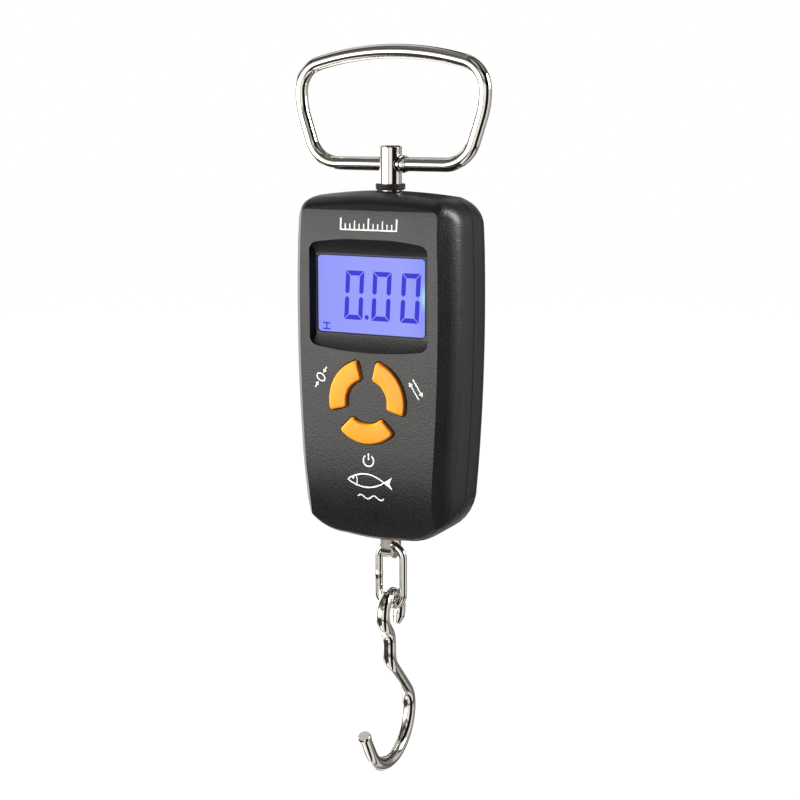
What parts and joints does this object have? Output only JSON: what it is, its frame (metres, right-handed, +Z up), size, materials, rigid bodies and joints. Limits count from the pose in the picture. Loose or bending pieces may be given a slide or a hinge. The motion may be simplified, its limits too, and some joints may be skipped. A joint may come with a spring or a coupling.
{
  "type": "digital fish scale",
  "caption": "Hanging digital fish scale: wire handle on a post, black case with lit display and ring of keys, load cell, oval link and bent-wire hook.",
  "frame": {"origin": "underside of the handle's top bar, in the middle, where the scale is held or hung", "axes": "+Z up along the load axis, -Y towards the person reading the display, +X to that person's right"},
  "size_m": [0.0616, 0.0333, 0.2128],
  "materials": {
    "chromed_wire": "polished nickel-chrome plate",
    "chromed_post": "polished nickel-chrome plate",
    "black_rubber": "matt rubber",
    "brass": "turned",
    "black_abs": "fine spark texture",
    "display_window": "clear acrylic, lit blue from behind",
    "lcd_glass": "lit blue display",
    "white_diffuser": "moulded diffuser",
    "led": "moulded",
    "circuit_board": "solder mask",
    "black_epoxy": "poured epoxy",
    "ceramic_parts": "ceramic",
    "orange_abs": "satin moulded",
    "switch_case": "moulded",
    "switch_plunger": "moulded",
    "aluminium": "machined",
    "gauge_film": "polyimide film",
    "lead_insulation": "PVC",
    "steel": "ground",
    "nickel_steel": "nickel plated",
    "battery_sleeve": "printed sleeve",
    "nickel_wire": "nickel plated",
    "nickel_plate": "nickel plated",
    "screw_steel": "zinc plated",
    "chromed_link": "polished nickel-chrome plate",
    "chromed_hook": "polished nickel-chrome plate"
  },
  "bodies": {
    "handle": {"handle": "chromed_wire"},
    "housing": {"handle_post": "chromed_post", "post_collar": "black_rubber", "post_nut": "brass", "front_cover": "black_abs", "rear_cover": "black_abs", "display_window": "display_window", "window_gasket": "black_rubber", "lcd_glass": "lcd_glass", "backlight_guide": "white_diffuser", "backlight_leds": "led", "contact_strip": "black_rubber", "main_board": "circuit_board", "controller_chip": "black_epoxy", "board_parts": "ceramic_parts", "tare_switch": "switch_case", "unit_switch": "switch_case", "power_switch": "switch_case", "load_cell": "aluminium", "strain_gauges": "gauge_film", "gauge_leads": "lead_insulation", "lug_pin": "steel", "hook_lug": "nickel_steel", "battery_left": "battery_sleeve", "battery_right": "battery_sleeve", "contact_springs": "nickel_wire", "contact_plates": "nickel_plate", "bridge_plate": "nickel_plate", "battery_leads": "lead_insulation", "case_screws": "screw_steel", "board_screws": "screw_steel", "cell_screws": "screw_steel"},
    "tare_button": {"tare_key": "orange_abs", "tare_plunger": "switch_plunger"},
    "unit_button": {"unit_key": "orange_abs", "unit_plunger": "switch_plunger"},
    "power_button": {"power_key": "orange_abs", "power_plunger": "switch_plunger"},
    "door": {"battery_door": "black_abs"},
    "link": {"chain_link": "chromed_link"},
    "hook": {"hook": "chromed_hook"}
  },
  "joints": [
    {"name": "handle_pivot", "type": "hinge", "parent": "handle", "child": "housing", "pos_m": [0, 0, -0.029], "axis": [1, 0, 0], "range_deg": [-90, 90]},
    {"name": "tare_press", "type": "slide", "parent": "housing", "child": "tare_button", "axis": [0, 1, 0], "range_m": [0, 0.0006], "stiffness_N_per_m": 1000, "springref_m": -0.0008},
    {"name": "unit_press", "type": "slide", "parent": "housing", "child": "unit_button", "axis": [0, 1, 0], "range_m": [0, 0.0006], "stiffness_N_per_m": 1000, "springref_m": -0.0008},
    {"name": "power_press", "type": "slide", "parent": "housing", "child": "power_button", "axis": [0, 1, 0], "range_m": [0, 0.0006], "stiffness_N_per_m": 1000, "springref_m": -0.0008},
    {"name": "door_hinge", "type": "hinge", "parent": "housing", "child": "door", "pos_m": [0, 0.0082, -0.128], "axis": [-1, 0, 0], "range_deg": [0, 80]},
    {"name": "link_swing", "type": "hinge", "parent": "housing", "child": "link", "pos_m": [0, 0, -0.13984], "axis": [1, 0, 0], "range_deg": [-60, 60]},
    {"name": "hook_swing", "type": "hinge", "parent": "link", "child": "hook", "pos_m": [0, 0, -0.15844], "axis": [1, 0, 0], "range_deg": [-45, 45]}
  ]
}
